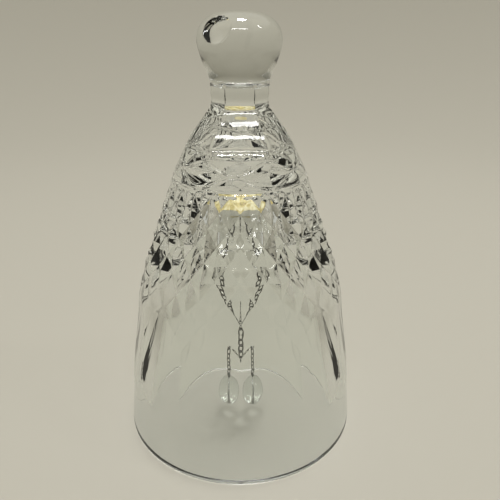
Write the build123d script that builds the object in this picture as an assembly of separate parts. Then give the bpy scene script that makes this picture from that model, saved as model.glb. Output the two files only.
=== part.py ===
from build123d import *
import math
import os

# Cut crystal table bell, standing on its rim. Millimetres, +Z up, the rim's
# lower face is at Z = 0 and the bell's axis is the Z axis.

# Overall
bell_height = 127.0
base_diameter = 75.0

# Handle: six-sided neck and round knob
knob_diameter = 23.0
knob_height = 18.8
neck_diameter = 16.4
neck_flat_to_flat = 14.3
neck_length = 3.4
neck_sides = 6

# Hollow
rim_wall = 3.0
rim_bevel = 0.4
hollow_height = 76.0
hollow_power = 0.6

# Upright flat cuts round the lower body
flat_count = 12
flat_low_z = 16.5
flat_high_z = 51.0
flat_depth = 1.45

# Mitre ring between the shoulder and the body, measured down from the neck's foot
ring_drop = 22.0
ring_width = 1.0
ring_depth = 0.35

# Clapper
ball_diameter = 11.0
ball_centre_z = 10.6
pin_wire = 0.6
pin_ring_radius = 0.7
pin_head_diameter = 1.7
pin_head_height = 0.4
ball_bore_clearance = 0.05
ball_end_clearance = 0.05

# Chain: its links share the height between the hanger and the ball's pin
link_wire = 0.45
link_bow_radius = 0.85
link_count = 26
link_clearance = 0.03

# Hanger, set in cement at the top of the hollow
hanger_wire = 0.7
hanger_ring_radius = 0.9
hanger_shank = 2.6
hanger_cover = 0.41
cement_depth = 3.4

chain_azimuth = 45.0

base_radius = base_diameter / 2
neck_radius = neck_diameter / 2
knob_radius = knob_diameter / 2
hollow_radius = base_radius - rim_wall
ball_radius = ball_diameter / 2
neck_top_z = bell_height - knob_height
neck_foot_z = neck_top_z - neck_length
ring_z = neck_foot_z - ring_drop

# The body's outline: share of the height up to the neck, and share of the flare
# from the neck's radius to the rim's.
BODY = [
    (0.095, 0.969),
    (0.267, 0.918),
    (0.382, 0.853),
    (0.496, 0.770),
    (0.592, 0.662),
    (0.687, 0.536),
    (0.763, 0.437),
    (0.821, 0.350),
    (0.868, 0.263),
    (0.906, 0.188),
    (0.940, 0.099),
    (0.973, 0.022),
]
# The knob's outline: share of its height, and share of its swell over the neck
KNOB_LOW = [(0.176, 0.227), (0.282, 0.515), (0.415, 0.788), (0.585, 1.0)]
# and above its widest place the share of its own radius.
KNOB_HIGH = [(0.723, 0.970), (0.846, 0.848), (0.941, 0.626), (0.987, 0.348)]


def body_point(height_share, flare_share):
    """A point of the body's outline in the XZ plane."""
    radius = neck_radius + (base_radius - neck_radius) * flare_share
    return (radius, neck_foot_z * height_share)


def outline():
    """The outer outline's three curves: body, straight neck, knob."""
    body = [(base_radius, rim_bevel)]
    body += [body_point(h, g) for h, g in BODY]
    body.append((neck_radius, neck_foot_z))
    swell = knob_radius - neck_radius
    knob = [(neck_radius, neck_top_z)]
    knob += [(neck_radius + swell * g, neck_top_z + knob_height * h) for h, g in KNOB_LOW]
    knob += [(knob_radius * g, neck_top_z + knob_height * h) for h, g in KNOB_HIGH]
    knob.append((0, bell_height))
    return body, knob


def xz(points):
    return [Vector(x, 0, z) for x, z in points]


def hollow_solid():
    """The space inside the bell: a deep dome that narrows evenly to the top."""
    shares = [1.0, 0.94, 0.87, 0.78, 0.68, 0.57, 0.46, 0.35, 0.24, 0.14, 0.06, 0.0]
    points = []
    for q in shares:
        height = hollow_height * (1 - q ** (1 / hollow_power))
        points.append(Vector(hollow_radius * q, 0, height))
    wall = Spline(*points)
    edges = [wall, Line(points[-1], (0, 0, 0)), Line((0, 0, 0), points[0])]
    face = make_face(edges)
    return revolve(face, Axis.Z)


BODY_POINTS, KNOB_POINTS = outline()
BODY_EDGE = Spline(*xz(BODY_POINTS), tangents=[(-0.06, 0, 1), (0, 0, 1)])
KNOB_EDGE = Spline(*xz(KNOB_POINTS), tangents=[(0, 0, 1), (-1, 0, 0)])


def radius_at(z):
    """The body outline's radius at height z, by halving along the curve."""
    low, high = 0.0, 1.0
    for _ in range(40):
        middle = (low + high) / 2
        if (BODY_EDGE @ middle).Z < z:
            low = middle
        else:
            high = middle
    return (BODY_EDGE @ low).X


def outer_solid():
    """The uncut blank: body, neck and knob as one turned shape."""
    foot = Vector(base_radius - rim_bevel, 0, 0)
    edges = [
        Line((0, 0, 0), foot),
        Line(foot, BODY_EDGE @ 0),
        BODY_EDGE,
        Line(BODY_EDGE @ 1, KNOB_EDGE @ 0),
        KNOB_EDGE,
        Line(KNOB_EDGE @ 1, (0, 0, 0)),
    ]
    return revolve(make_face(edges), Axis.Z)


def panel_cutter(curve, width, azimuth):
    """A block whose inner face is the given cut curve, straight across the cut."""
    start, end = curve @ 0, curve @ 1
    far = base_radius + 10
    edges = [
        curve,
        Line(end, (far, 0, end.Z)),
        Line((far, 0, end.Z), (far, 0, start.Z)),
        Line((far, 0, start.Z), start),
    ]
    block = extrude(make_face(edges), amount=width / 2, dir=(0, 1, 0), both=True)
    return Rot(0, 0, azimuth) * block


def neck_cutters():
    """Six flats that shape the neck and run out on the shoulder and the knob."""
    apothem = neck_flat_to_flat / 2
    top = neck_top_z + 1.6
    # a regular prism's faces lie this share of its corner radius from its axis
    face_share = math.cos(math.pi / neck_sides)
    points = [
        (neck_radius + 1.6, top),
        (apothem + 0.5, neck_top_z + 0.55),
        (apothem, neck_top_z - 0.9),
        (apothem, neck_foot_z - 2.2),
    ]
    for share in (0.957, 0.940, 0.906, 0.887):
        z = neck_foot_z * share
        points.append((radius_at(z) * face_share, z))
    points.append((radius_at(neck_foot_z * 0.875) * 0.93, neck_foot_z * 0.874))
    points.append((radius_at(neck_foot_z * 0.860) * 1.02, neck_foot_z * 0.860))
    curve = Spline(*xz(points))
    step = 360 / neck_sides
    return [panel_cutter(curve, 24, -90 + step * i) for i in range(neck_sides)]


def flat_cutters():
    """Upright flats, each cut a little hollow from top to bottom by the wheel."""
    middle_z = (flat_low_z + flat_high_z) / 2
    low = Vector(radius_at(flat_low_z), 0, flat_low_z)
    high = Vector(radius_at(flat_high_z), 0, flat_high_z)
    middle = Vector(radius_at(middle_z) - flat_depth, 0, middle_z)
    tangent = (high - low).normalized()
    curve = Spline(
        low - tangent * 1.0 + Vector(0.35, 0, 0),
        low,
        middle,
        high,
        high + tangent * 1.0 + Vector(0.35, 0, 0),
    )
    step = 360 / flat_count
    return [panel_cutter(curve, 26, -90 + step * (i + 0.5)) for i in range(flat_count)]


def ring_cutter():
    """A shallow V ring round the shoulder."""
    radius = radius_at(ring_z)
    face = make_face(
        Polyline(
            (radius - ring_depth, 0, ring_z),
            (radius + 1.0, 0, ring_z + ring_width * 1.4),
            (radius + 1.0, 0, ring_z - ring_width * 1.4),
            close=True,
        ).edges()
    )
    return revolve(face, Axis.Z)


def wire_ring(radius, wire, z):
    """A closed round ring standing in the XZ plane with its centre at height z."""
    path = Wire.make_circle(radius, Plane((0, 0, z), (1, 0, 0), (0, 1, 0)))
    section = Plane((radius, 0, z), (1, 0, 0), (0, 0, 1)) * Circle(wire / 2)
    return sweep(section, path)


def chain_link(half):
    """One oval link in the XZ plane, its centre at the origin and its top wire at half."""
    r = link_bow_radius
    straight = half - r
    path = Wire(
        [
            Line((r, 0, -straight), (r, 0, straight)).edge(),
            ThreePointArc((r, 0, straight), (0, 0, straight + r), (-r, 0, straight)).edge(),
            Line((-r, 0, straight), (-r, 0, -straight)).edge(),
            ThreePointArc((-r, 0, -straight), (0, 0, -straight - r), (r, 0, -straight)).edge(),
        ]
    )
    section = Plane((r, 0, 0), (1, 0, 0), (0, 0, 1)) * Circle(link_wire / 2)
    return sweep(section, path)


def save(shape, name, colour):
    shape.label = name
    shape.color = Color(*colour)
    export_step(shape, f"parts/{name}.step")
    print(name, round(shape.volume, 3), len(shape.solids()))


def main():
    os.makedirs("parts", exist_ok=True)
    hollow = hollow_solid()

    glass = outer_solid() - hollow
    glass = glass - ring_cutter()
    for cutter in neck_cutters() + flat_cutters():
        glass = glass - cutter
    save(glass, "bell_glass", (0.9, 0.93, 0.92))

    # Clapper: the ball turns on a pin whose ring hangs in the last link.
    ball_top = ball_centre_z + ball_radius
    ball_foot = ball_centre_z - ball_radius
    ring_low = ball_top + ball_end_clearance
    pin_ring_z = ring_low + pin_wire / 2 + pin_ring_radius
    last_pivot = pin_ring_z + pin_ring_radius - (pin_wire + link_wire) / 2 - link_clearance

    # Hanger: ring and shank set in the cement at the top of the hollow.
    shank_foot = hollow_height - hanger_cover - hanger_shank
    ring_centre_z = shank_foot - hanger_ring_radius
    hanger_z = ring_centre_z - hanger_ring_radius

    # Chain: pivots at the centre of each wire that the next piece hangs from.
    chain_drop = hanger_z - last_pivot + (hanger_wire - link_wire) / 2
    link_pitch = chain_drop / link_count
    link_half = (link_pitch + link_wire + link_clearance) / 2
    shank = Pos(0, 0, shank_foot + hanger_shank / 2 - 0.1) * Cylinder(
        hanger_wire / 2, hanger_shank + 0.2
    )
    hanger = wire_ring(hanger_ring_radius, hanger_wire, ring_centre_z) + shank
    hanger = Rot(0, 0, chain_azimuth) * hanger
    slab_height = cement_depth + 1
    slab = Pos(0, 0, hollow_height - cement_depth + slab_height / 2) * Box(30, 30, slab_height)
    cement = (hollow & slab) - hanger
    save(cement, "cement_plug", (0.78, 0.68, 0.32))
    save(hanger, "hanger_eye", (0.7, 0.7, 0.7))

    link = chain_link(link_half)
    pivot = hanger_z
    drop = (hanger_wire + link_wire) / 2 + link_clearance
    for i in range(link_count):
        centre = pivot + drop - link_half
        turn = chain_azimuth + (90 if i % 2 == 0 else 0)
        placed = Pos(0, 0, centre) * Rot(0, 0, turn) * link
        save(placed, f"chain_link_{i + 1:02d}", (0.72, 0.72, 0.72))
        pivot = centre - link_half
        drop = link_wire + link_clearance

    # The pin's ring stands square to the last link.
    pin_turn = chain_azimuth + (90 if link_count % 2 == 0 else 0)
    shank_top = pin_ring_z - pin_ring_radius
    head_top = ball_foot - ball_end_clearance
    head_foot = head_top - pin_head_height
    stem = Pos(0, 0, (shank_top + head_foot) / 2) * Cylinder(pin_wire / 2, shank_top - head_foot)
    head = Pos(0, 0, head_foot + pin_head_height / 2) * Cylinder(
        pin_head_diameter / 2, pin_head_height
    )
    pin = wire_ring(pin_ring_radius, pin_wire, pin_ring_z) + stem + head
    pin = Rot(0, 0, pin_turn) * pin
    save(pin, "eye_pin", (0.72, 0.72, 0.72))

    bore = Pos(0, 0, ball_centre_z) * Cylinder(
        pin_wire / 2 + ball_bore_clearance, ball_diameter + 2
    )
    ball = Pos(0, 0, ball_centre_z) * Sphere(ball_radius) - bore
    save(ball, "clapper_ball", (0.9, 0.93, 0.92))
    print("pivots", round(hanger_z, 4), round(last_pivot, 4), round(link_pitch, 4))


main()
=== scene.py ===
"""Looks for a cut lead-crystal table bell: a blown and wheel-cut shell with six panels on
its neck, a band of diamonds and twelve upright flats, a glass ball that turns on a steel
eye pin, a fine steel chain, and the cement that holds the chain's hanger in the top of the
hollow. Metres, +Z up; the bell stands on its rim at Z = 0 and its axis is the Z axis."""

import math

import bpy
import numpy as np
from mathutils import Matrix, Vector


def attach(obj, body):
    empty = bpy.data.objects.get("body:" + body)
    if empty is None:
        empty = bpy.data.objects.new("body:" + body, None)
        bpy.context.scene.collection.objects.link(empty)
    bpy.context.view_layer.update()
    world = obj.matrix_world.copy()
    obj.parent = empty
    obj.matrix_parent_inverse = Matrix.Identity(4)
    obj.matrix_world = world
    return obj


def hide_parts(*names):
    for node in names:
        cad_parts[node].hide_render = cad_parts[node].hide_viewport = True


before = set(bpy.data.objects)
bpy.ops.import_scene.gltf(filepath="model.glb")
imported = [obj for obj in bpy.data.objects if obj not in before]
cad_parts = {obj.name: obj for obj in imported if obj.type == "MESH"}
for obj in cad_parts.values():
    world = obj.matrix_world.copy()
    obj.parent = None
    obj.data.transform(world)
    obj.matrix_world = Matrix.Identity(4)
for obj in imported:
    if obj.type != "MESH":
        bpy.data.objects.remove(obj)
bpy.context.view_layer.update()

MM = 0.001
TAU = 2 * math.pi


# ---------------------------------------------------------------- shapes in numbers


def fair_curve(knots, start_slope, end_slope):
    """The smoothest curve through the knots (u, v): piecewise cubics whose slope and
    curvature both run on through each knot, with the two end slopes given. Returns a
    function of u."""
    u, v = (np.array(c, float) for c in zip(*knots))
    h = np.diff(u)
    n = len(u)
    a = np.zeros((n, n))
    b = np.zeros(n)
    inner = np.arange(1, n - 1)
    a[inner, inner - 1] = 1 / h[:-1]
    a[inner, inner] = 2 / h[:-1] + 2 / h[1:]
    a[inner, inner + 1] = 1 / h[1:]
    rise = np.diff(v) / h**2
    b[inner] = 3 * (rise[:-1] + rise[1:])
    a[0, 0] = a[-1, -1] = 1
    b[0], b[-1] = start_slope, end_slope
    slope = np.linalg.solve(a, b)

    def curve(x):
        x = np.clip(x, u[0], u[-1])
        i = np.clip(np.searchsorted(u, x, side="right") - 1, 0, n - 2)
        t = (x - u[i]) / h[i]
        rest = (1 - t) ** 2
        return (
            (1 + 2 * t) * rest * v[i]
            + t * rest * h[i] * slope[i]
            + t * t * (3 - 2 * t) * v[i + 1]
            - t * t * (1 - t) * h[i] * slope[i + 1]
        )

    return curve


# The blown shape before cutting, in millimetres: height, radius.
RIM_EASE, NECK_RADIUS, NECK_FOOT, NECK_TOP, KNOB_FOOT, KNOB_TOP = 0.4, 8.2, 104.8, 108.15, 108.2, 127.0
body_radius = fair_curve(
    [(RIM_EASE, 37.5), (9.96, 36.59), (27.98, 35.1), (40.03, 33.19), (51.98, 30.76)]
    + [(62.04, 27.6), (72.0, 23.9), (79.96, 21.0), (86.04, 18.46), (90.97, 15.91)]
    + [(94.95, 13.71), (98.51, 11.1), (101.97, 8.84), (NECK_FOOT, NECK_RADIUS)],
    -0.06,
    0.0,
)
# The knob, as height and radius against the share of the way along its outline.
KNOB = [(KNOB_FOOT, NECK_RADIUS), (109.4, 8.31), (111.51, 8.95), (113.5, 9.9), (116.0, 10.8)]
KNOB += [(119.2, 11.5), (121.79, 11.16), (124.1, 9.75), (125.89, 7.2), (126.76, 4.0)]
KNOB += [(KNOB_TOP, 0.0)]
KNOB_STEPS = np.hypot(*np.diff(np.array(KNOB), axis=0).T)
KNOB_WAY = np.concatenate([[0], np.cumsum(KNOB_STEPS)]) / KNOB_STEPS.sum()
KNOB_LENGTH = KNOB_STEPS.sum()
knob_height = fair_curve([(w, p[0]) for w, p in zip(KNOB_WAY, KNOB)], KNOB_LENGTH, 0.0)
knob_radius = fair_curve([(w, p[1]) for w, p in zip(KNOB_WAY, KNOB)], 0.0, -KNOB_LENGTH)

# The body's and the knob's outlines as one fine table of radius against height.
BODY_STEPS, KNOB_STEPS_FINE = 9001, 6001
fine_way = np.linspace(0, 1, KNOB_STEPS_FINE)
fine_z = np.concatenate([np.linspace(RIM_EASE, 108.1, BODY_STEPS), knob_height(fine_way)])
fine_r = np.concatenate([body_radius(fine_z[:BODY_STEPS]), knob_radius(fine_way)])
fine_r[(fine_z > NECK_FOOT) & (fine_z < NECK_TOP)] = NECK_RADIUS
fine_r[-1] = 0.0
fine_z = np.maximum.accumulate(fine_z)


def blank_radius(z):
    """The uncut shape's radius at height z, both in millimetres."""
    return np.interp(z, fine_z, fine_r)


# The hollow's radius is HOLLOW_FOOT times (1 - height / HOLLOW_TOP) to HOLLOW_POWER.
HOLLOW_TOP, HOLLOW_FOOT, HOLLOW_POWER = 76.0, 34.5, 0.6


def turn_from(azimuth, centres):
    """The signed angle from the nearest of evenly spaced centres, in radians."""
    step = TAU / centres
    return (azimuth + step / 2) % step - step / 2


# The upright flats: how deep the wheel bites at each height, in millimetres, and from that
# the distance from the axis to each flat's face.
FLATS, FLAT_LOW, FLAT_HIGH, FLAT_DEPTH = 12, 16.5, 51.0, 1.45
FLAT_CUTS = [(FLAT_LOW, 0.0), (22.0, 0.92), (33.75, FLAT_DEPTH), (40.0, 1.13), (46.0, 0.31)]
FLAT_CUTS += [(FLAT_HIGH, 0.0)]
flat_face = fair_curve([(z, blank_radius(z) - deep) for z, deep in FLAT_CUTS], -0.24, -0.24)
# The six panels' faces: clear of the blank below 90 mm and above 109 mm; between, they
# touch the blank at the panels' shared edges, and then run straight up the neck.
PANELS, PANEL_LOW, PANEL_HIGH = 6, 90.2, 109.7
HEXAGON = math.cos(math.pi / PANELS)
panel_face = fair_curve(
    [(90.4, blank_radius(90.4) * 1.02), (91.2, blank_radius(91.2) * 0.945)]
    + [(91.9, blank_radius(91.9) * 0.885)]
    + [(z, blank_radius(z) * HEXAGON) for z in (92.8, 95.0, 98.5, 100.3)]
    + [(102.6, 7.15), (107.3, 7.15), (108.75, 7.65), (109.8, 9.8)],
    -1.6,
    2.6,
)


def flat_azimuth(azimuth):
    """The angle from the nearest upright flat's middle."""
    return turn_from(azimuth - TAU / (2 * FLATS), FLATS)


def panel_azimuth(azimuth):
    """The angle from the nearest neck panel's middle; one panel faces -Y."""
    return turn_from(azimuth + math.pi / 2, PANELS)


def flat_height(azimuth, z):
    """How far the blank stands proud of the flat cut there; negative where it misses."""
    gap = blank_radius(z) * np.cos(flat_azimuth(azimuth)) - flat_face(z)
    return np.where((z > FLAT_LOW) & (z < FLAT_HIGH), gap, -1.0)


def panel_height(azimuth, z):
    """How far the blank stands proud of the neck panel there."""
    gap = blank_radius(z) * np.cos(panel_azimuth(azimuth)) - panel_face(z)
    return np.where((z > PANEL_LOW) & (z < PANEL_HIGH), gap, -1.0)


# The diamond band: grooves cross on 24 meridians, and the crossings' rows draw closer
# upwards as the bell narrows.
DIAMONDS, DIAMOND_ROWS = 24, 7.15
DIAMOND_FOOT, DIAMOND_RISE, DIAMOND_CLOSING = 50.1, 5.12, 0.081
# The grooves' depth as a share of the blank's radius, against the crossing row: the wheel
# runs in from nothing and bites deeper where the diamonds are larger.
DIAMOND_BITE = [(-0.3, 0.0), (0.0, 0.01), (1.0, 0.027), (1.7, 0.042), (2.3, 0.056), (3.0, 0.052)]
DIAMOND_BITE += [(3.8, 0.044), (4.8, 0.028), (6.9, 0.022), (7.15, 0.0)]


def row_height(u):
    """Height of crossing row u: a rise per row that shrinks evenly."""
    return DIAMOND_FOOT + DIAMOND_RISE * u - DIAMOND_CLOSING * u * u


def row_of(z):
    """The crossing row at height z, the other way round."""
    gap = np.clip(DIAMOND_RISE**2 - 4 * DIAMOND_CLOSING * (z - DIAMOND_FOOT), 1e-6, None)
    return (DIAMOND_RISE - np.sqrt(gap)) / (2 * DIAMOND_CLOSING)


def diamond_depth(azimuth, z):
    """Depth of the mitre grooves. Two families of grooves run at p = whole and q = whole,
    where p and q are the azimuth in diamond widths plus and minus half the row. Each is a
    V whose flanks meet its neighbours' halfway, so that they leave four-sided points."""
    f = (azimuth + math.pi / 2) / (TAU / DIAMONDS)
    u = row_of(z)
    p, q = f + u / 2, f - u / 2
    tent_p = 1 - 2 * np.abs(p - np.round(p))
    tent_q = 1 - 2 * np.abs(q - np.round(q))
    bite = np.interp(u, *zip(*DIAMOND_BITE))
    return bite * blank_radius(z) * np.clip(np.maximum(tent_p, tent_q), 0, 1)


# Fine wheel lines round the shoulder: two waves, six to the turn, and a plain ring.
RING_Z, RING_DEPTH, RING_HALF = 82.8, 0.22, 0.55
LINE_DEPTH, LINE_HALF = 0.13, 0.48
WAVES, WAVE_TURN = 6, math.radians(-5)
LOWER_WAVE_Z, UPPER_WAVE_Z = 85.25, 88.55


def lower_wave(azimuth):
    """Six arches whose tops stand over the ring."""
    return LOWER_WAVE_Z + 1.6 * np.cos(WAVES * (azimuth + math.pi / 2 - WAVE_TURN))


def upper_wave(azimuth):
    """Six hanging bows that meet the arches' tops."""
    return UPPER_WAVE_Z - 1.2 * np.cos(WAVES * (azimuth + math.pi / 2 - WAVE_TURN))


def line_depth(azimuth, z):
    """Depth of the shoulder's V lines: each falls evenly to its middle."""
    ring = RING_DEPTH * (1 - np.abs(z - RING_Z) / RING_HALF)
    low = LINE_DEPTH * (1 - np.abs(z - lower_wave(azimuth)) / LINE_HALF)
    high = LINE_DEPTH * (1 - np.abs(z - upper_wave(azimuth)) / LINE_HALF)
    return np.clip(np.maximum(np.maximum(ring, low), high), 0, None)


# A round thumb-cut polished into the knob, towards the left of the front.
CUT_AZIMUTH, CUT_RISE, CUT_BALL, CUT_DEPTH = math.radians(-124), math.radians(24), 8.0, 1.6
KNOB_CENTRE, KNOB_REACH = np.array([0.0, 0.0, 118.2]), 11.2


def thumb_cut(points):
    """Points of the knob that lie inside the round cutter go out to its surface, along the
    line from its centre."""
    way = np.array(
        [
            math.cos(CUT_RISE) * math.cos(CUT_AZIMUTH),
            math.cos(CUT_RISE) * math.sin(CUT_AZIMUTH),
            math.sin(CUT_RISE),
        ]
    )
    centre = KNOB_CENTRE + way * (KNOB_REACH + CUT_BALL - CUT_DEPTH)
    away = points - centre
    far = np.linalg.norm(away, axis=-1, keepdims=True)
    inside = (far < CUT_BALL) & (points[..., 2:3] > NECK_TOP)
    pushed = centre + away / np.maximum(far, 1e-6) * CUT_BALL
    return np.where(inside, pushed, points)


# ---------------------------------------------------------------- meshes


def mesh_piece(name, vertices, faces, sharp=None):
    """A mesh object at the origin, smooth but for edges sharper than the given angle."""
    mesh = bpy.data.meshes.new(name)
    mesh.from_pydata(np.asarray(vertices).reshape(-1, 3), [], faces)
    mesh.update()
    mesh.shade_smooth()
    if sharp:
        mesh.set_sharp_from_angle(angle=math.radians(sharp))
    piece = bpy.data.objects.new(name, mesh)
    bpy.context.scene.collection.objects.link(piece)
    return piece


def closed_rows(first, rows, last):
    """The vertices of a pole, of rows of the same length and of a second pole, and the
    triangles that join each pole to the row beside it. rows is (rows, columns, 3)."""
    count, columns = rows.shape[:2]
    vertices = np.concatenate([[first], rows.reshape(-1, 3), [last]])
    ring = np.arange(columns)
    after = np.roll(ring, -1)
    start = 1 + ring
    end = 1 + (count - 1) * columns + ring
    caps = [
        np.stack([np.zeros_like(ring), 1 + after, start], 1),
        np.stack([end, end[0] + after, np.full_like(ring, len(vertices) - 1)], 1),
    ]
    return vertices, caps


def wire_ring(points, radii, sides):
    """A round wire along a closed path in the XZ plane: at each point a circle spanned by
    the Y axis and the direction square to it and to the path."""
    along = np.roll(points, -1, 0) - np.roll(points, 1, 0)
    along /= np.linalg.norm(along, axis=1, keepdims=True)
    square = np.broadcast_to(np.array([0.0, 1.0, 0.0]), along.shape)
    side = np.cross(square, along)
    angle = np.linspace(0, TAU, sides, endpoint=False)[None, :, None]
    radii = np.broadcast_to(np.asarray(radii, float), (len(points),))[:, None, None]
    ring = side[:, None] * np.cos(angle) + square[:, None] * np.sin(angle)
    return points[:, None] + radii * ring


def wrapped_faces(rows, columns, closed, offset=0):
    """Four-sided faces of a grid whose columns run round, and whose rows do too if closed.
    offset is the number of vertices before the grid's first."""
    last = rows if closed else rows - 1
    i, j = np.meshgrid(np.arange(last), np.arange(columns), indexing="ij")
    up, on = (i + 1) % rows, (j + 1) % columns
    corners = [i * columns + j, i * columns + on, up * columns + on, up * columns + j]
    return np.stack(corners, -1).reshape(-1, 4) + offset


def lathe(profile, columns):
    """A turned surface: the profile (radius, height) carried once round the Z axis."""
    profile = np.asarray(profile, float)
    angle = np.linspace(0, TAU, columns, endpoint=False)
    r, z = profile[:, :1], profile[:, 1:]
    return np.stack([r * np.cos(angle), r * np.sin(angle), z + 0 * angle], -1)


# The shell's grid: columns round, row spacing where each kind of cut ends, the share of a
# cell within which a point moves onto a cut's edge, and the heights between which the
# fine grooves lie.
COLUMNS, FLAT_ROW, PANEL_ROW, SNAP_REACH = 384, 0.96, 0.5, 0.5
GROOVES_LOW, GROOVES_HIGH = 46, 92


def snap(azimuth, z, height, cell_turn, cell_z, fixed):
    """Moves the points of a grid that lie within half a cell of a cut's edge onto that
    edge, so that the edge is drawn by whole mesh edges. height is zero on the edge; a
    step along its gradient, counted in cells, is taken three times. Fixed points only
    rise or fall. Returns the new azimuths and heights, and which points were near."""
    azimuth, z = azimuth.copy(), z.copy()
    near = None
    for _ in range(3):
        d = 1e-4
        value = height(azimuth, z)
        slope_turn = (height(azimuth + d, z) - height(azimuth - d, z)) / (2 * d) * cell_turn
        slope_z = (height(azimuth, z + d) - height(azimuth, z - d)) / (2 * d) * cell_z
        slope_turn = np.where(fixed, 0, slope_turn)
        steep = slope_turn**2 + slope_z**2 + 1e-12
        if near is None:
            near = np.abs(value) / np.sqrt(steep) < SNAP_REACH
        step = np.where(near, -value / steep, 0)
        azimuth += np.clip(step * slope_turn, -1, 1) * cell_turn
        z += np.clip(step * slope_z, -1, 1) * cell_z
    return azimuth, z, near


def bell_rows():
    """Heights of the outer surface's rows, in millimetres: close where the cuts are."""
    rows = [np.array([0.4, 0.9, 2.0, 4.0, 6.5, 9.0, 11.5, 13.5, 15.0])]
    rows.append(np.arange(16.0, 49.2, FLAT_ROW))
    rows.append(row_height(np.arange(-1, 0) / 8))
    rows.append(row_height(np.arange(0, 7.01, 1 / 8)))
    rows.append(RING_Z + np.array([-0.5, 0.0, 0.5]))
    rows.append(np.linspace(83.65, 90.3, 24))
    rows.append(np.linspace(90.75, 104.0, 26))
    rows.append(np.linspace(104.6, 107.2, 5))
    rows.append(np.linspace(107.5, 110.1, 11))
    way = np.interp(110.4, knob_height(fine_way), fine_way)
    knob = knob_height(np.linspace(way, 0.992, 38))
    rows.append(knob)
    return np.concatenate(rows)


def follow_waves(azimuth, z):
    """Bends the rows between the ring and the panels so that they follow the wheel lines'
    waves: the lift is each wave's own at its height, falls evenly to nothing at the zone's
    two ends, and runs evenly from one wave to the other between them."""
    low, high = 83.6, 90.4
    lower_lift = lower_wave(azimuth) - LOWER_WAVE_Z
    upper_lift = upper_wave(azimuth) - UPPER_WAVE_Z
    apart = UPPER_WAVE_Z - LOWER_WAVE_Z
    under = (z - low) / (LOWER_WAVE_Z - low) * lower_lift
    between = (UPPER_WAVE_Z - z) / apart * lower_lift + (z - LOWER_WAVE_Z) / apart * upper_lift
    over = (high - z) / (high - UPPER_WAVE_Z) * upper_lift
    lift = np.where(z < LOWER_WAVE_Z, under, np.where(z < UPPER_WAVE_Z, between, over))
    return np.where((z > low) & (z < high), z + lift, z)


def outer_grid():
    """Azimuths, heights and cut-edge marks of the outer surface's grid. Its points lie on
    the flats' and the panels' edges where those pass; the edges that neighbouring cuts
    share stay on their own columns."""
    column = np.arange(COLUMNS)
    azimuth, z = np.meshgrid(column * TAU / COLUMNS - math.pi / 2, bell_rows())
    z = follow_waves(azimuth, z)
    edge = np.zeros(z.shape, bool)
    on_flat_ridge = column % (COLUMNS // FLATS) == 0
    on_panel_ridge = column % (COLUMNS // PANELS) == COLUMNS // PANELS // 2
    cuts = [
        (flat_height, 15.2, 52.5, FLAT_ROW, on_flat_ridge),
        (panel_height, 90.0, 110.2, PANEL_ROW, on_panel_ridge),
    ]
    for height, low, high, row, ridge in cuts:
        zone = (z > low) & (z < high)
        fixed = np.broadcast_to(ridge, z.shape)
        snapped = snap(azimuth, z, height, TAU / COLUMNS, row, fixed)
        azimuth = np.where(zone, snapped[0], azimuth)
        z = np.where(zone, snapped[1], z)
        edge |= zone & snapped[2]
    return azimuth, z, edge


def cut_surface(azimuth, z):
    """Points of the outer surface. The radius is the least of the blank less its grooves
    and each cut's face, which is straight across: the face's distance over the cosine of
    the angle from its middle."""
    depth = np.where(z < row_height(DIAMOND_ROWS), diamond_depth(azimuth, z), 0)
    depth = np.maximum(depth, line_depth(azimuth, z))
    depth = np.where((z > GROOVES_LOW) & (z < GROOVES_HIGH), depth, 0)
    radius = blank_radius(z) - depth
    flat_r = flat_face(z) / np.cos(flat_azimuth(azimuth))
    panel_r = panel_face(z) / np.cos(panel_azimuth(azimuth))
    in_flat, in_panel = flat_height(azimuth, z) > 0, panel_height(azimuth, z) > 0
    radius = np.where(in_flat, np.minimum(radius, flat_r), radius)
    radius = np.where(in_panel, np.minimum(radius, panel_r), radius)
    return thumb_cut(np.stack([radius * np.cos(azimuth), radius * np.sin(azimuth), z], -1))


def hollow_surface():
    """Points of the hollow, from near its top down to the rim, whose edges are eased. The
    last rows cross the rim's standing face."""
    way = np.linspace(0.055, 1, 34)[:, None]
    inner_z = HOLLOW_TOP * (1 - way ** (1 / HOLLOW_POWER)) + 0.12 * way**8
    inner_r = np.concatenate([HOLLOW_FOOT * way, [[HOLLOW_FOOT + 0.12]]])
    inner_z = np.concatenate([inner_z, [[0.0]]])
    rim = [(37.1, 0.0), (37.38, 0.12)]
    rows = lathe(np.concatenate([np.concatenate([inner_r, inner_z], 1), rim]), COLUMNS)
    return np.roll(rows, COLUMNS // 4, axis=1)


def split_cells(edge, heights):
    """Each cell of the grid as two triangles that share a diagonal. Two corners on a cut's
    edge choose the diagonal; elsewhere it runs with the nearer family of grooves."""
    count = len(heights)
    column = np.arange(COLUMNS)
    i, j = np.meshgrid(np.arange(count - 1), column, indexing="ij")
    on = (j + 1) % COLUMNS
    a, b = 1 + i * COLUMNS + j, 1 + i * COLUMNS + on
    c, d = b + COLUMNS, a + COLUMNS
    rising = edge[i, j] & edge[i + 1, on]
    falling = edge[i, on] & edge[i + 1, j]
    middle_turn = (j + 0.5) / COLUMNS * DIAMONDS
    middle_u = row_of((heights[:-1] + heights[1:]) / 2)[:, None]
    p, q = middle_turn + middle_u / 2, middle_turn - middle_u / 2
    along_q = np.abs(q - np.round(q)) <= np.abs(p - np.round(p))
    split = np.where(rising & ~falling, True, np.where(falling & ~rising, False, along_q))
    split = split[..., None]
    first = np.where(split, np.stack([a, b, c], -1), np.stack([a, b, d], -1))
    second = np.where(split, np.stack([a, c, d], -1), np.stack([b, c, d], -1))
    return [first.reshape(-1, 3), second.reshape(-1, 3)]


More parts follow.
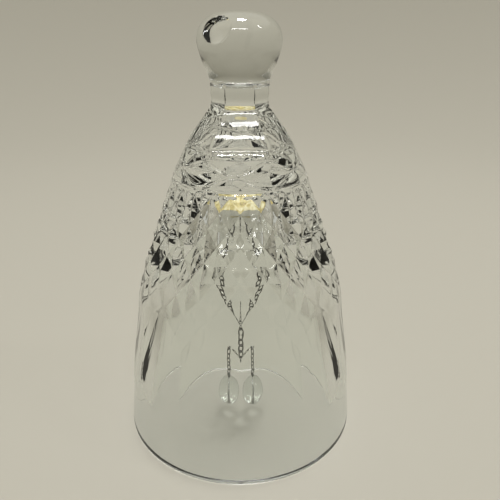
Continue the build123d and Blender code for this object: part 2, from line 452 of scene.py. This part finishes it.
def bell_crystal():
    """The cut shell. Its rows run from the hollow's top down the hollow, across the rim,
    and up the outside to the knob's top."""
    azimuth, z, edge = outer_grid()
    hollow = hollow_surface()
    rows = np.concatenate([hollow, cut_surface(azimuth, z)])
    vertices, caps = closed_rows((0, 0, HOLLOW_TOP), rows, (0, 0, KNOB_TOP))
    plain = np.zeros(hollow.shape[:2], bool)
    heights = np.concatenate([np.zeros(len(hollow)), bell_rows()])
    faces = split_cells(np.concatenate([plain, edge]), heights) + caps
    return mesh_piece("cut_crystal_bell", vertices * MM, np.concatenate(faces), sharp=24)


# ---------------------------------------------------------------- clapper, chain, cement

BALL_Z, BALL_R, BORE_R = 10.6, 5.5, 0.35
CHAIN_TURN = math.radians(45)


def clapper_ball():
    """A glass ball with a fine bore: an arc from the bore's top edge round to its foot,
    and the bore's wall back up, turned about the Z axis."""
    edge = math.asin(BORE_R / BALL_R)
    t = np.linspace(edge, math.pi - edge, 49)
    arc = np.stack([BALL_R * np.sin(t), BALL_Z + BALL_R * np.cos(t)], 1)[::-1]
    top = BALL_Z + BALL_R * math.cos(edge)
    foot = BALL_Z - BALL_R * math.cos(edge)
    bore = np.stack([np.full(8, BORE_R), np.linspace(top, foot, 10)[1:-1]], 1)
    rows = lathe(np.concatenate([arc, bore]), 96)
    faces = wrapped_faces(len(rows), 96, True)
    return mesh_piece("glass_ball", rows * MM, faces, sharp=30)


def turned(points, turn, z=0.0):
    """Points turned about the Z axis and lifted."""
    c, s = math.cos(turn), math.sin(turn)
    x, y = points[..., 0], points[..., 1]
    return np.stack([c * x - s * y, s * x + c * y, points[..., 2] + z], -1)


PIN_WIRE, PIN_RING = 0.6, 0.7
PIN_RING_Z = BALL_Z + BALL_R + 0.05 + PIN_WIRE / 2 + PIN_RING
HANGER_WIRE, HANGER_RING, HANGER_SHANK = 0.7, 0.9, 2.6
FIRST_PIVOT = 71.19
HANGER_Z = FIRST_PIVOT + HANGER_RING
# The links share the height between the hanger's wire and the pin's ring.
LINKS, LINK_WIRE, LINK_BOW, LINK_GAP = 26, 0.45, 0.85, 0.03
last_pivot = PIN_RING_Z + PIN_RING - (PIN_WIRE + LINK_WIRE) / 2 - LINK_GAP
LINK_PITCH = (FIRST_PIVOT - last_pivot + (HANGER_WIRE - LINK_WIRE) / 2) / LINKS
LINK_HALF = (LINK_PITCH + LINK_WIRE + LINK_GAP) / 2
LINK_SIDES, EYE_SIDES = 12, 14


def oval(half, bow, steps):
    """A closed oval in the XZ plane: two straight sides joined by two half circles."""
    straight = half - bow
    t = np.linspace(0, math.pi, steps)
    top = np.stack([bow * np.cos(t), 0 * t, straight + bow * np.sin(t)], 1)
    foot = np.stack([-bow * np.cos(t), 0 * t, -straight - bow * np.sin(t)], 1)
    side = np.linspace(-straight, straight, 9)[1:-1]
    rise = np.stack([np.full(7, bow), 0 * side, side], 1)
    return np.concatenate([top, rise[::-1] * [-1, 1, 1], foot, rise])


def chain_link(number, centre, turn):
    """One oval link. Where the wire's ends meet, in the middle of one side, it has the
    shallow dip of the butt joint: its radius falls by a narrow bell curve."""
    path = oval(LINK_HALF, LINK_BOW, 15)
    side = -1 if number % 2 else 1
    joint = np.exp(-((path[:, 2] / 0.07) ** 2)) * (path[:, 0] * side > 0)
    rows = wire_ring(path, LINK_WIRE / 2 * (1 - 0.22 * joint), LINK_SIDES)
    rows = turned(rows, turn, centre)
    name = f"steel_link_{number:02d}"
    return mesh_piece(name, rows * MM, wrapped_faces(len(rows), LINK_SIDES, True), sharp=50)


def round_eye(radius, wire, z, turn):
    """A closed round ring of wire that stands upright, and its faces."""
    t = np.linspace(0, TAU, 40, endpoint=False)
    path = np.stack([radius * np.cos(t), 0 * t, radius * np.sin(t)], 1)
    rows = turned(wire_ring(path, wire / 2, EYE_SIDES), turn, z)
    return rows, wrapped_faces(len(rows), EYE_SIDES, True).tolist()


def joined(name, parts, sharp=40):
    """One mesh from several closed parts, each its vertices and its faces."""
    vertices, faces, start = [], [], 0
    for rows, quads in parts:
        vertices.append(rows.reshape(-1, 3))
        faces += [[corner + start for corner in face] for face in quads]
        start += len(vertices[-1])
    return mesh_piece(name, np.concatenate(vertices) * MM, faces, sharp)


def capped(profile, columns):
    """Vertices and faces of a turned solid: the profile's two ends lie on the axis and
    become poles."""
    rows = lathe(profile[1:-1], columns)
    first, last = (0, 0, profile[0][1]), (0, 0, profile[-1][1])
    vertices, caps = closed_rows(first, rows, last)
    quads = wrapped_faces(len(rows), columns, False, 1)
    return vertices, quads.tolist() + caps[0].tolist() + caps[1].tolist()


def eye_pin():
    """The pin that carries the ball: a ring, a straight wire through the bore and a
    burred-over head under the ball."""
    head_top = BALL_Z - BALL_R - 0.05
    head_foot = head_top - 0.4
    stem = [
        (0, head_foot),
        (0.45, head_foot),
        (0.72, head_foot + 0.05),
        (0.84, head_foot + 0.18),
        (0.82, head_top - 0.04),
        (0.76, head_top),
        (0.32, head_top + 0.02),
        (0.3, head_top + 0.1),
        (0.3, PIN_RING_Z - PIN_RING),
        (0, PIN_RING_Z - PIN_RING),
    ]
    ring = round_eye(PIN_RING, PIN_WIRE, PIN_RING_Z, CHAIN_TURN + math.pi / 2)
    return joined("steel_eye_pin", [capped(stem, 24), ring])


def hanger():
    """The eye that holds the chain: a ring whose shank is set in the cement."""
    foot = HANGER_Z + HANGER_RING
    low, high, radius = foot - 0.05, foot + HANGER_SHANK, HANGER_WIRE / 2
    shank = [(0, low), (radius, low), (radius, high), (0, high)]
    ring = round_eye(HANGER_RING, HANGER_WIRE, HANGER_Z, CHAIN_TURN)
    return joined("steel_hanger", [capped(shank, 20), ring])


CEMENT_DEPTH = 3.4


def cement():
    """The set cement: its top fills the hollow and bites a hair into the glass, as cement
    that wets it does, and its free face is a lumpy meniscus round the hanger."""
    way = np.linspace(0.05, 1, 26)
    foot_share = (CEMENT_DEPTH / HOLLOW_TOP) ** HOLLOW_POWER
    top_r = HOLLOW_FOOT * foot_share * way
    top_z = HOLLOW_TOP * (1 - (foot_share * way) ** (1 / HOLLOW_POWER))
    top = np.stack([top_r + 0.015, top_z], 1)[::-1]
    edge = top[0, 0]
    s = np.linspace(0.02, 0.97, 18)
    face = np.stack([edge * s, HOLLOW_TOP - CEMENT_DEPTH + 0.55 * (1 - s**2) * s], 1)
    rows = lathe(np.concatenate([face, top]), 96)
    angle = np.arctan2(rows[:18, :, 1], rows[:18, :, 0])
    lumps = 0.10 * np.sin(5 * angle + 9 * s[:, None]) + 0.07 * np.sin(9 * angle - 14 * s[:, None])
    rows[:18, :, 2] += (lumps + 0.08) * (s[:, None] * (1 - s[:, None]) * 4)
    vertices, caps = closed_rows((0, 0, rows[0, :, 2].mean()), rows, (0, 0, HOLLOW_TOP))
    quads = wrapped_faces(len(rows), 96, False, 1)
    faces = quads.tolist() + caps[0].tolist() + caps[1].tolist()
    return mesh_piece("cement_fill", vertices * MM, faces, sharp=50)


# ---------------------------------------------------------------- materials


def linear(code):
    """An sRGB hex value as linear RGBA: each channel's standard curve."""
    c = np.array([int(code[i : i + 2], 16) for i in (1, 3, 5)]) / 255
    c = np.where(c <= 0.04045, c / 12.92, ((c + 0.055) / 1.055) ** 2.4)
    return (*c.tolist(), 1.0)


def add(tree, kind, links=None, **settings):
    """A node of that kind: settings name its sockets or properties, and links give the
    output that feeds each named or numbered socket."""
    node = tree.nodes.new(kind)
    for key, value in settings.items():
        name = key.replace("_", " ")
        if name in node.inputs:
            node.inputs[name].default_value = value
        else:
            setattr(node, key, value)
    for socket, source in (links or {}).items():
        tree.links.new(source, node.inputs[socket])
    return node


def finish_of(name):
    """A new material and its tree, with the Principled shader that is already there."""
    material = bpy.data.materials.new(name)
    material.use_nodes = True
    tree = material.node_tree
    return material, tree, tree.nodes["Principled BSDF"]


def ramp(tree, source, stops):
    """A colour ramp fed by a value: stops are (position, colour)."""
    node = add(tree, "ShaderNodeValToRGB", {0: source})
    while len(node.color_ramp.elements) < len(stops):
        node.color_ramp.elements.new(0.5)
    for element, (position, colour) in zip(node.color_ramp.elements, stops):
        element.position = position
        element.color = colour
    return node.outputs["Color"]


def grey(value):
    """A grey of that linear value."""
    return (value, value, value, 1.0)


def let_lamps_through(tree, shader, share):
    """Lamps' shadow rays pass the glass, each surface keeping that share of them: real
    glass focuses the light on the table below, which shadow rays alone would lose."""
    clear = add(tree, "ShaderNodeBsdfTransparent", Color=grey(share))
    shadow = add(tree, "ShaderNodeLightPath").outputs["Is Shadow Ray"]
    both = add(tree, "ShaderNodeMixShader", {0: shadow, 1: shader.outputs[0], 2: clear.outputs[0]})
    tree.links.new(both.outputs[0], tree.nodes["Material Output"].inputs["Surface"])


def lead_crystal():
    """Lead crystal, blown, wheel cut and acid polished: colourless, IOR 1.545, with faint
    waviness of hand polishing about 5 mm across and fine rub marks on the standing rim."""
    material, tree, shader = finish_of("lead_crystal_cut_and_polished")
    shader.inputs["Base Color"].default_value = linear("#FBFDFB")
    shader.inputs["Transmission Weight"].default_value = 1.0
    shader.inputs["IOR"].default_value = 1.545
    place = add(tree, "ShaderNodeTexCoord").outputs["Object"]
    height = add(tree, "ShaderNodeSeparateXYZ", {0: place}).outputs["Z"]
    # Rim wear within 0.8 mm of the table
    worn = add(tree, "ShaderNodeMapRange", {"Value": height}, From_Min=0.0002, From_Max=0.0009)
    worn.inputs["To Min"].default_value = 0.16
    worn.inputs["To Max"].default_value = 0.0
    rub = add(tree, "ShaderNodeTexNoise", {"Vector": place}, Scale=900.0, Detail=3.0)
    rough = add(tree, "ShaderNodeMath", {0: worn.outputs[0], 1: rub.outputs["Fac"]})
    rough.operation = "MULTIPLY"
    tree.links.new(rough.outputs[0], shader.inputs["Roughness"])
    # Waviness: one bump about every 5 mm, a few hundredths of a millimetre high
    wave = add(tree, "ShaderNodeTexNoise", {"Vector": place}, Scale=190.0, Detail=1.0)
    bump = add(tree, "ShaderNodeBump", {"Height": wave.outputs["Fac"]}, Strength=1.0)
    bump.inputs["Distance"].default_value = 0.00005
    tree.links.new(bump.outputs[0], shader.inputs["Normal"])
    let_lamps_through(tree, shader, 0.70)
    return material


def pressed_glass():
    """Plain glass, pressed and fire polished, for the ball: slightly greyer, with faint
    flow marks about 1 mm apart."""
    material, tree, shader = finish_of("pressed_glass_fire_polished")
    shader.inputs["Base Color"].default_value = linear("#F4F7F5")
    shader.inputs["Transmission Weight"].default_value = 1.0
    shader.inputs["IOR"].default_value = 1.52
    place = add(tree, "ShaderNodeTexCoord").outputs["Object"]
    marks = add(tree, "ShaderNodeTexNoise", {"Vector": place}, Scale=1000.0, Detail=2.0)
    rough = add(tree, "ShaderNodeMapRange", {"Value": marks.outputs["Fac"]})
    rough.inputs["To Min"].default_value = 0.0
    rough.inputs["To Max"].default_value = 0.06
    tree.links.new(rough.outputs[0], shader.inputs["Roughness"])
    let_lamps_through(tree, shader, 0.70)
    return material


def drawn_steel():
    """Drawn steel wire, nickel washed: grey with a dull gloss, darker in patches where the
    wash has tarnished, and fine die lines too small to show, drawn at 0.2 mm."""
    material, tree, shader = finish_of("steel_wire_drawn_nickel_washed")
    shader.inputs["Metallic"].default_value = 1.0
    place = add(tree, "ShaderNodeTexCoord").outputs["Object"]
    patch = add(tree, "ShaderNodeTexNoise", {"Vector": place}, Scale=700.0, Detail=3.0)
    colour = ramp(
        tree, patch.outputs["Fac"], [(0.32, linear("#5C5A55")), (0.62, linear("#8F8D88"))]
    )
    tree.links.new(colour, shader.inputs["Base Color"])
    lines = add(tree, "ShaderNodeTexNoise", {"Vector": place}, Scale=5000.0, Detail=2.0)
    rough = add(tree, "ShaderNodeMapRange", {"Value": lines.outputs["Fac"]})
    rough.inputs["To Min"].default_value = 0.22
    rough.inputs["To Max"].default_value = 0.5
    tree.links.new(rough.outputs[0], shader.inputs["Roughness"])
    return material


def set_cement():
    """Amber-cream setting cement, cast: matt and grainy, with darker flecks and resin-rich
    yellow patches 1 to 2 mm across."""
    material, tree, shader = finish_of("setting_cement_cast")
    place = add(tree, "ShaderNodeTexCoord").outputs["Object"]
    patch = add(tree, "ShaderNodeTexNoise", {"Vector": place}, Scale=600.0, Detail=4.0)
    colour = ramp(
        tree,
        patch.outputs["Fac"],
        [(0.3, linear("#8E8050")), (0.45, linear("#C6B677")), (0.62, linear("#E4DDB8"))],
    )
    tree.links.new(colour, shader.inputs["Base Color"])
    shader.inputs["Roughness"].default_value = 0.55
    grain = add(tree, "ShaderNodeTexNoise", {"Vector": place}, Scale=3500.0, Detail=3.0)
    bump = add(tree, "ShaderNodeBump", {"Height": grain.outputs["Fac"]}, Strength=0.8)
    bump.inputs["Distance"].default_value = 0.0001
    tree.links.new(bump.outputs[0], shader.inputs["Normal"])
    return material


# ---------------------------------------------------------------- pieces


def dress(piece, material, body, slot, *nodes):
    """Gives a piece its material and the body that it rides on, and hides the CAD nodes that it stands
    for.
    """
    piece.data.materials.append(material)
    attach(piece, body)
    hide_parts(*nodes)
    return piece


CRYSTAL, BALL_GLASS, STEEL, CEMENT = lead_crystal(), pressed_glass(), drawn_steel(), set_cement()
dress(bell_crystal(), CRYSTAL, "bell", "crystal", "bell_glass")
dress(cement(), CEMENT, "bell", "cement", "cement_plug")
dress(hanger(), STEEL, "bell", "steel_wire", "hanger_eye")
dress(clapper_ball(), BALL_GLASS, "ball", "clapper_glass", "clapper_ball")
dress(eye_pin(), STEEL, "pin", "steel_wire", "eye_pin")
pivot, drop = FIRST_PIVOT, (HANGER_WIRE + LINK_WIRE) / 2 + LINK_GAP
for link in range(1, LINKS + 1):
    link_centre = pivot + drop - LINK_HALF
    quarter = CHAIN_TURN + (math.pi / 2 if link % 2 else 0)
    dress(
        chain_link(link, link_centre, quarter),
        STEEL,
        f"link_{link:02d}",
        "steel_wire",
        f"chain_link_{link:02d}",
    )
    pivot, drop = link_centre - LINK_HALF, LINK_WIRE + LINK_GAP


# ---------------------------------------------------------------- studio


def studio_floor():
    """A pale round sweep: a flat disc whose edge curves up into an upright wall. It lies a
    hair under the rim, as a real rim stands on a few high points."""
    reach, bend, low, high, columns = 0.45, 1.1, -0.0002, 1.3, 128
    t = np.linspace(0, math.pi / 2, 40)[1:]
    profile = [(r, low) for r in np.linspace(0.0, reach, 16)[1:]]
    profile += [(reach + bend * math.sin(a), bend * (1 - math.cos(a)) + low) for a in t]
    profile += [(reach + bend, high)]
    rows = lathe(profile, columns)
    vertices = np.concatenate([rows.reshape(-1, 3), [[0, 0, low]]])
    ring = np.arange(columns)
    centre = np.stack([np.full(columns, len(vertices) - 1), ring, np.roll(ring, -1)], 1)
    upwards = wrapped_faces(len(rows), columns, False)[:, ::-1]
    faces = upwards.tolist() + centre.tolist()
    floor = mesh_piece("studio_sweep", vertices, faces)
    material, tree, shader = finish_of("matt_paper_with_painted_shade")
    place = add(tree, "ShaderNodeTexCoord").outputs["Object"]
    apart = add(tree, "ShaderNodeSeparateXYZ", {0: place})
    # Painted shade: rays from the glass see the sweep darker on the camera's side, standing in for the
    # dim room behind a camera; the camera itself sees it evenly pale
    depth = apart.outputs["Y"]
    back = add(tree, "ShaderNodeMapRange", {"Value": depth}, From_Min=-0.9, From_Max=0.3)
    room = add(tree, "ShaderNodeMix", {"Factor": back.outputs[0]}, data_type="RGBA")
    room.inputs[6].default_value = linear("#96958C")
    room.inputs[7].default_value = linear("#BFBBAF")
    # Camera rays get the even pale colour; only the crystal's reflections and refractions get the
    # painted shade
    camera = add(tree, "ShaderNodeLightPath").outputs["Is Camera Ray"]
    shown = add(tree, "ShaderNodeMix", {"Factor": camera, 6: room.outputs[2]}, data_type="RGBA")
    shown.inputs[7].default_value = linear("#BFBBAF")
    tree.links.new(shown.outputs[2], shader.inputs["Base Color"])
    shader.inputs["Roughness"].default_value = 0.9
    shader.inputs["Specular IOR Level"].default_value = 0.2
    floor.data.materials.append(material)
    return floor


def softbox(name, place, target, size, power):
    """A rectangular lamp that faces the target."""
    lamp = bpy.data.lights.new(name, "AREA")
    lamp.shape = "RECTANGLE"
    lamp.size, lamp.size_y = size
    lamp.energy = power
    light = bpy.data.objects.new(name, lamp)
    way = Vector(target) - Vector(place)
    facing = way.to_track_quat("-Z", "Y").to_matrix().to_4x4()
    light.matrix_world = Matrix.Translation(place) @ facing
    bpy.context.scene.collection.objects.link(light)
    return light


def camera_view():
    """The camera: 37.4 mm on a 36 mm sensor, a little above the knob and 150 mm in front,
    looking 23.4 degrees down and 1.2 to the right, with a quarter degree of roll."""
    pitch, yaw, roll = math.radians(23.43), math.radians(1.16), math.radians(0.26)
    ahead = (math.sin(yaw) * math.cos(pitch), math.cos(yaw) * math.cos(pitch))
    way = Vector((*ahead, -math.sin(pitch)))
    right = way.cross(Vector((0, 0, 1))).normalized()
    up = right.cross(way)
    right_rolled = math.cos(roll) * right + math.sin(roll) * up
    up_rolled = math.cos(roll) * up - math.sin(roll) * right
    data = bpy.data.cameras.new("camera")
    data.lens, data.sensor_width, data.clip_start = 37.44, 36.0, 0.001
    camera = bpy.data.objects.new("camera", data)
    place = Matrix((right_rolled, up_rolled, -way)).transposed().to_4x4()
    place.translation = Vector((0, -0.1496, 0.1234))
    camera.matrix_world = place
    bpy.context.scene.collection.objects.link(camera)
    bpy.context.scene.camera = camera


def studio_world():
    """A plain grey room above the sweep, which the crystal's facets pick up."""
    world = bpy.data.worlds.new("studio")
    bpy.context.scene.world = world
    world.use_nodes = True
    back = world.node_tree.nodes["Background"]
    back.inputs["Color"].default_value = linear("#B9B8B0")
    back.inputs["Strength"].default_value = 1.05


studio_floor()
studio_world()
softbox("overhead", (0.05, 0.10, 1.25), (0, 0, 0.06), (0.22, 0.22), 7.6)
softbox("front_bank", (0.0, -0.74, 1.05), (0, 0, 0.09), (0.7, 0.08), 2.6)
softbox("side_bank", (0.75, -0.2, 1.0), (0, 0, 0.09), (0.06, 0.2), 0.8)
camera_view()
bpy.context.scene.view_settings.view_transform = "Standard"
